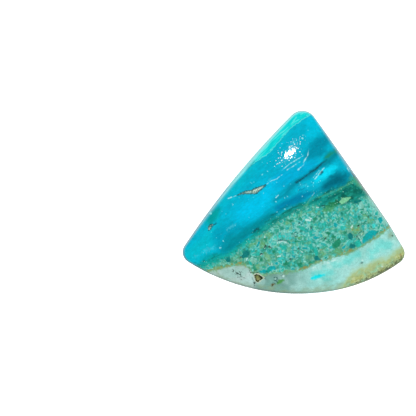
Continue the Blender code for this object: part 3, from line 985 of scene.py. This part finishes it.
for colour, none_at, all_at in (("12AAA2", 0.7, 0.72), ("249C7C", 0.8, 0.82), ("40C4B4", 0.9, 0.92)):
    lump = lay(lump, colour, lump_pick, none_at, all_at, 0.9)
breccia = lay(breccia, lump, into_lump, 0.16, 0.2)
breccia = lay(breccia, "96E0D2", grain_pick, 0.84, 0.88, 0.4)
breccia = lay(breccia, "108070", grain_pick, 0.16, 0.12, 0.4)
breccia = lay(breccia, "62A070", marking("olive_tint", middling, 0.8), 0.6, -0.5, 0.45)
breccia = lay(breccia, "6AAE6C", marking("moss", fine, 0.3), 0.2, -0.1, 0.6)
breccia = lay(breccia, "A4E0D4", marking("bleached", middling, 0.5), 0.5, -0.4, 0.55)
teal = lay("02A8AA", "0C9C8E", middling, 0.0, 0.4)
deep_green = lay("1A8C68", "2A9C7A", middling, -0.1, 0.3)
for colour, chip, sway, none_at, all_at, most in (
    ("1C8868", "green_chip", 0.15, 0.12, 0.0, 0.6),
    (deep_green, "green_chip", 0.12, 0.05, -0.06, 0.95),
    ("88D0C4", "teal_chip", 0.12, 0.14, 0.06, 0.4),
    (teal, "teal_chip", 0.12, 0.05, -0.05, 1.0),
    ("1CB4A2", "jade_chip", 0.12, 0.05, -0.05, 0.95),
    ("067E7A", "dark_chip", 0.12, 0.08, -0.05, 1.0),
    ("36D2CA", "aqua_chip", 0.12, 0.07, -0.07, 0.9),
):
    breccia = lay(breccia, colour, marking(chip, fine, sway), none_at, all_at, most)
breccia = mottle(breccia, fine, 0.2)
breccia = mottle(breccia, grit, 0.24)
breccia = lay(breccia, "14605A", sprinkle(0.55, -0.3, 0.16), 0.0, 0.08, 0.8)
breccia = lay(breccia, "3C9A60", marking("olive", fine, 0.3), 0.2, -0.15, 0.8)
rock = lay(rock, breccia, marking("crumb_bed", fine, 0.35), 0.3, -0.2)

# Pale rock below the ochre seam: whitish at the left, grey-green in the middle and aqua at the right. It is
# crackled in places, between crumbs of this many millimetres.
CRACKLE = 0.35
pale = lay("AECCC6", "70A096", along, -4.9, -3.9)
pale = lay(pale, "9ADCD4", along, -1.8, 3.2)
pale = lay(pale, "7CC0B0", broad, -0.1, 0.6, 0.4)
pale = lay(pale, "B4E4DC", broad, 0.1, -0.6, 0.4)
pale = lay(pale, "62DCD4", marking("aqua_tint", middling, 0.5), 0.6, -0.3, 0.7)
pale = lay(pale, "04E2E8", marking("cyan_streak", fine, 0.1), 0.2, -0.1)
pale = lay(pale, "90B290", marking("foot_tint", middling, 0.5), 0.6, -0.4, 0.75)
pale = mottle(pale, middling, 0.1)
pale = mottle(pale, fine, 0.06)
pale = mottle(pale, grit, 0.14)
pale = lay(pale, "4E9A52", marking("olive", fine, 0.15), 0.14, -0.08)
crackle = swayed(into_crumb(CRACKLE), grit, 0.12)
crackled = add(body, "ShaderNodeMath", {0: marking("crackled", fine, 0.4), 1: crackle}, operation="MAXIMUM")
pale = lay(pale, "3C4C40", crackled, 0.1, 0.02, 0.8)
rock = lay(rock, pale, marking("ochre_bed", fine, 0.2), 0.02, -0.24)
seam = add(body, "ShaderNodeMath", {0: marking("ochre_bed", fine, 0.18), 1: 0.03}, operation="ADD")
seam = add(body, "ShaderNodeMath", {0: seam}, operation="ABSOLUTE")
ochre = lay("6CA476", "8CA660", grit, 0.0, 0.4)
rock = lay(rock, mottle(ochre, fine, 0.3), swayed(seam, middling, 0.2), 0.28, 0.0, 0.75)
gold = lay("80A260", "9C9C54", grit, 0.0, 0.4)
rock = lay(rock, mottle(gold, fine, 0.3), marking("gold", fine, 0.3), 0.14, -0.08, 0.75)

# Sandy rock at the lower right, of the finer grains, with a golden line along its top and a burnt rim.
sand = lay("A4C08C", "AEBC76", middling, -0.1, 0.45)
sand = lay(sand, "90CCA4", middling, -0.15, -0.5, 0.7)
sand = lay(sand, "8E9C66", grain_pick, 0.25, 0.1, 0.45)
sand = lay(sand, "C6D4A4", grain_pick, 0.85, 0.95, 0.5)
sand = mottle(sand, fine, 0.15)
burnt = lay("5E6848", "8C9A70", streaks, 0.0, 0.4)
sand = lay(sand, burnt, marking("burnt_rim", fine, 0.5), 0.4, -0.15, 0.9)
sand = lay(sand, "343A2A", marking("burnt_rim", grit, 1.1), 0.1, -0.3, 0.7)
sand = lay(sand, "D8EED0", sprinkle(0.45, -0.2, 0.24), -0.04, 0.08, 0.7)
rock = lay(rock, "ACCFA4", marking("sand_bed", middling, 0.3), 0.9, 0)
rock = lay(rock, sand, marking("sand_bed", middling, 0.4), 0.4, -0.4)
golden_line = add(body, "ShaderNodeMath", {0: marking("sand_bed", middling, 0.4)}, operation="ABSOLUTE")
rock = lay(rock, "A8B870", golden_line, 0.3, 0.0, 0.4)

# What cuts through all the beds: dark cracks, rust, the open crack with its chalky fill, chalky chips, the
# hollow with its olive floor, and the pits.
rock = lay(rock, "164A4C", marking("dark_crack", grit, 0.08), 0.04, -0.05, 0.75)
rock = lay(rock, "988A4C", marking("rust", fine, 0.12), 0.08, -0.05, 0.75)
crack = marking("open_crack", grit, 0.11)
rock = lay(rock, "0A5450", crack, 0.06, 0.0, 0.8)
crack_fill = lay("8CC4B8", "4A8070", fine, 0.1, -0.2)
crack_fill = lay(crack_fill, "E4F2DC", grit, 0.05, 0.35)
rock = lay(rock, crack_fill, crack, -0.04, -0.12, 0.95)
rock = lay(rock, "CCF2EA", marking("pale_chip", grit, 0.1), 0.05, -0.05, 0.75)
hollow = marking("hollow", grit, 0.08)
rock = lay(rock, "C4D6BC", hollow, 0.16, 0.1)
rock = lay(rock, "3A4A30", hollow, 0.06, 0.0)
floor = lay("7C8A46", "A0A468", fine, 0.0, 0.4)
rock = lay(rock, mottle(floor, grit, 0.3), hollow, -0.04, -0.12)
rock = lay(rock, "202810", marking("hollow_pit", grit, 0.05), 0.05, -0.05)
rock = lay(rock, "1C5248", marking("pit", grit, 0.06), 0.05, -0.05, 0.9)
rock = lay(rock, "2A3A30", marking("grey_crack", grit, 0.1), 0.03, -0.04, 0.8)

# Light comes through the thin edge of the dome, so it looks pale there.
rock = lay(rock, "74F8FC", marking("thin_edge", drift, 0.12), 0.03, -0.28, 0.8)
body.links.new(rock, shader.inputs["Base Color"])

# The polish ripples by this many millimetres, which frays the edges of a highlight.
RIPPLE = 0.002
lift = add(body, "ShaderNodeMath", {0: ripple, 1: RIPPLE}, operation="MULTIPLY")
bump = add(body, "ShaderNodeBump", {"Height": lift, "Distance": MM, "Strength": 1.0})
body.links.new(bump, shader.inputs["Normal"])

# The blue opal is glassy, the crumbly beds are duller, and the pits and the sawn back are matt.
roughness = GLASSY
for measure, none_at, all_at, dull in (
    (marking("crumb_bed"), 0.2, -0.4, CRUMBLY),
    (marking("hollow"), 0.05, -0.05, ROUGH_PIT),
    (marking("open_crack"), 0.05, -0.05, ROUGH_PIT),
    (marking("pit"), 0.05, -0.05, ROUGH_PIT),
    (up, BACK_BEVEL, 0.05, SMOOTHED),
):
    limits = {"Value": measure, "From Min": none_at, "From Max": all_at, "To Min": roughness, "To Max": dull}
    roughness = add(body, "ShaderNodeMapRange", limits)
body.links.new(roughness, shader.inputs["Roughness"])
shader.inputs["IOR"].default_value = OPAL_IOR
shader.inputs["Metallic"].default_value = 0.0

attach(stone, "root")
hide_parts("fan_cabochon")
